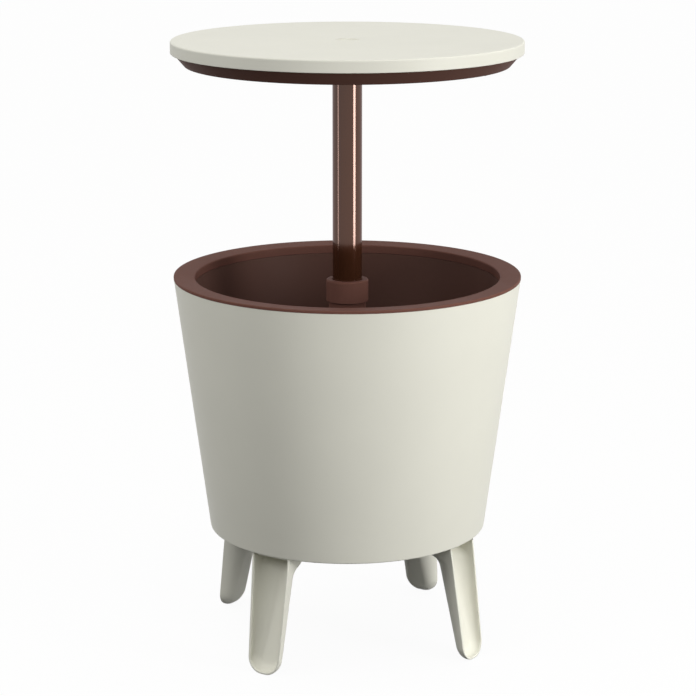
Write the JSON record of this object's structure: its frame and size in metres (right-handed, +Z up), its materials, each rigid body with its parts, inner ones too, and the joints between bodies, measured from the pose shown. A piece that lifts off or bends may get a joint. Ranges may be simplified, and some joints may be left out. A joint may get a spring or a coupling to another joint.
{
  "type": "ice bucket table",
  "caption": "Round patio table whose top lifts and twists to lock on a centre pole above an ice bucket with a drain plug, on splayed hollow legs.",
  "frame": {"origin": "on the floor, under the middle of the centre pole", "axes": "+Z up along the pole; -Y towards the picture's camera; +X to the picture's right"},
  "size_m": [0.4957, 0.4956, 0.8727],
  "materials": {
    "cream_plastic": "off-white moulded polypropylene, satin",
    "brown_plastic": "reddish brown moulded polypropylene, satin",
    "liner_plastic": "dark brown moulded polypropylene, satin",
    "dark_plastic": "near-black moulded nylon",
    "bronze_pole": "bronze-brown coated aluminium tube, semi-gloss",
    "drain_plug_plastic": "brown moulded plastic",
    "steel": "zinc-plated steel",
    "rubber": "black rubber"
  },
  "bodies": {
    "bucket": {"guide_tube": "brown_plastic", "guide_collar": "brown_plastic", "guide_seal": "rubber", "guide_nut": "brown_plastic", "guide_foot": "dark_plastic", "guide_foot_screws": "steel", "rim_ring": "brown_plastic", "rim_screws": "steel", "bucket_liner": "liner_plastic", "outer_shell": "cream_plastic", "leg_front_left": "cream_plastic", "leg_front_right": "cream_plastic", "leg_rear_left": "cream_plastic", "leg_rear_right": "cream_plastic", "leg_screws": "steel", "drain_fitting": "brown_plastic", "drain_gasket": "rubber", "drain_nut": "brown_plastic"},
    "lock": {"lock_sleeve": "dark_plastic"},
    "table": {"table_top_cover": "cream_plastic", "centre_cap": "cream_plastic", "centre_bolt": "steel", "table_tray": "brown_plastic", "tray_screws": "steel", "pole_hub": "brown_plastic", "hub_screws": "steel", "pole_tube": "bronze_pole", "pole_top_plug": "dark_plastic", "lock_spindle": "dark_plastic", "lock_washer": "steel", "lock_screw": "steel"},
    "plug": {"drain_plug": "drain_plug_plastic", "drain_plug_ring": "rubber"}
  },
  "joints": [
    {"name": "table_lift", "type": "slide", "parent": "bucket", "child": "lock", "axis": [0, 0, 1], "range_m": [-0.2994, 0]},
    {"name": "table_twist", "type": "hinge", "parent": "lock", "child": "table", "pos_m": [0, 0, 0.501], "axis": [0, 0, 1], "range_deg": [0, 90]},
    {"name": "drain_plug_pull", "type": "slide", "parent": "bucket", "child": "plug", "axis": [0, 0, -1], "range_m": [0, 0.03]}
  ]
}
